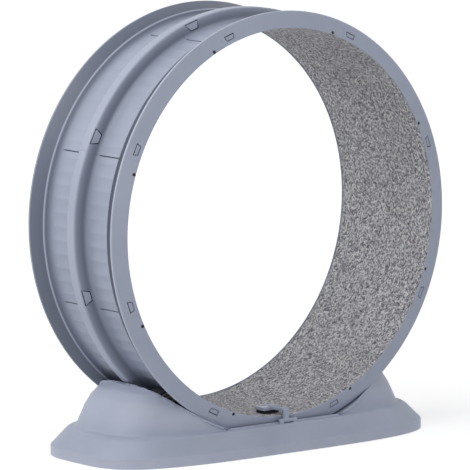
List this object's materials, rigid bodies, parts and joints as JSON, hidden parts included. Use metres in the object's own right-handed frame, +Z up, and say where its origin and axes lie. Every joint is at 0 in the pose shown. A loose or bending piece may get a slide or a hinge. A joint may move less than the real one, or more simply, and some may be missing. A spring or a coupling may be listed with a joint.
{
  "type": "cat exercise wheel",
  "caption": "Running wheel with a carpeted tread inside a segmented flanged plastic rim, turning on rollers in a low moulded base with a flip-over stop lever.",
  "frame": {"origin": "on the floor under the middle of the base, straight below the wheel's axis", "axes": "+Z up; the wheel turns about +Y, which points to the rear; the stop lever is at the front, at -Y; +X to the right as seen from the front"},
  "size_m": [1, 0.4236, 1.043],
  "materials": {
    "rim_plastic": "moulded satin grey plastic",
    "splice_plastic": "moulded grey plastic",
    "key_plastic": "moulded satin grey plastic",
    "pin_black": "moulded dark plastic",
    "carpet": "short looped carpet, flecked grey",
    "base_plastic": "moulded satin grey plastic",
    "plate_plastic": "moulded dark grey plastic",
    "foot_rubber": "matt",
    "screw_steel": "zinc plated",
    "bracket_steel": "satin dark grey paint",
    "axle_steel": "ground",
    "clip_steel": "zinc plated",
    "roller_rubber": "matt grey tread",
    "hub_plastic": "moulded nylon",
    "bearing_steel": "ground",
    "lever_plastic": "moulded satin grey plastic",
    "brake_rubber": "matt"
  },
  "bodies": {
    "base": {"base_shell": "base_plastic", "bottom_plate": "plate_plastic", "rubber_feet": "foot_rubber", "base_screws": "screw_steel", "front_left_bracket": "bracket_steel", "front_right_bracket": "bracket_steel", "rear_left_bracket": "bracket_steel", "rear_right_bracket": "bracket_steel", "bracket_screws": "screw_steel", "roller_axles": "axle_steel", "axle_clips": "clip_steel", "axle_washers": "clip_steel", "lever_ears": "lever_plastic", "lever_pin": "axle_steel"},
    "wheel": {"rim_segment_1": "rim_plastic", "rim_segment_2": "rim_plastic", "rim_segment_3": "rim_plastic", "rim_segment_4": "rim_plastic", "rim_segment_5": "rim_plastic", "rim_segment_6": "rim_plastic", "rim_segment_7": "rim_plastic", "rim_segment_8": "rim_plastic", "rib_splices": "splice_plastic", "front_flange_splices": "splice_plastic", "rear_flange_splices": "splice_plastic", "rib_keys": "key_plastic", "front_flange_keys": "key_plastic", "rear_flange_keys": "key_plastic", "rim_pins": "pin_black", "carpet_tread": "carpet"},
    "front_left_roller": {"front_left_tyre": "roller_rubber", "front_left_hub": "hub_plastic", "front_left_bearings": "bearing_steel"},
    "front_right_roller": {"front_right_tyre": "roller_rubber", "front_right_hub": "hub_plastic", "front_right_bearings": "bearing_steel"},
    "rear_left_roller": {"rear_left_tyre": "roller_rubber", "rear_left_hub": "hub_plastic", "rear_left_bearings": "bearing_steel"},
    "rear_right_roller": {"rear_right_tyre": "roller_rubber", "rear_right_hub": "hub_plastic", "rear_right_bearings": "bearing_steel"},
    "lever": {"stop_lever": "lever_plastic", "brake_pad": "brake_rubber"}
  },
  "joints": [
    {"name": "wheel_spin", "type": "hinge", "parent": "base", "child": "wheel", "pos_m": [0, 0, 0.543], "axis": [0, 1, 0], "continuous": true},
    {"name": "front_left_roller_spin", "type": "hinge", "parent": "base", "child": "front_left_roller", "pos_m": [-0.28696, -0.06963, 0.13318], "axis": [0, 1, 0], "continuous": true},
    {"name": "front_right_roller_spin", "type": "hinge", "parent": "base", "child": "front_right_roller", "pos_m": [0.28696, -0.06963, 0.13318], "axis": [0, 1, 0], "continuous": true},
    {"name": "rear_left_roller_spin", "type": "hinge", "parent": "base", "child": "rear_left_roller", "pos_m": [-0.28696, 0.06963, 0.13318], "axis": [0, 1, 0], "continuous": true},
    {"name": "rear_right_roller_spin", "type": "hinge", "parent": "base", "child": "rear_right_roller", "pos_m": [0.28696, 0.06963, 0.13318], "axis": [0, 1, 0], "continuous": true},
    {"name": "lever_fold", "type": "hinge", "parent": "base", "child": "lever", "pos_m": [0, -0.18105, 0.0735], "axis": [1, 0, 0], "range_deg": [0, 100]}
  ],
  "couplings": [
    {"joint": "front_left_roller_spin", "follows": "wheel_spin", "ratio": -15.667},
    {"joint": "front_right_roller_spin", "follows": "wheel_spin", "ratio": -15.667},
    {"joint": "rear_left_roller_spin", "follows": "wheel_spin", "ratio": -15.667},
    {"joint": "rear_right_roller_spin", "follows": "wheel_spin", "ratio": -15.667}
  ]
}
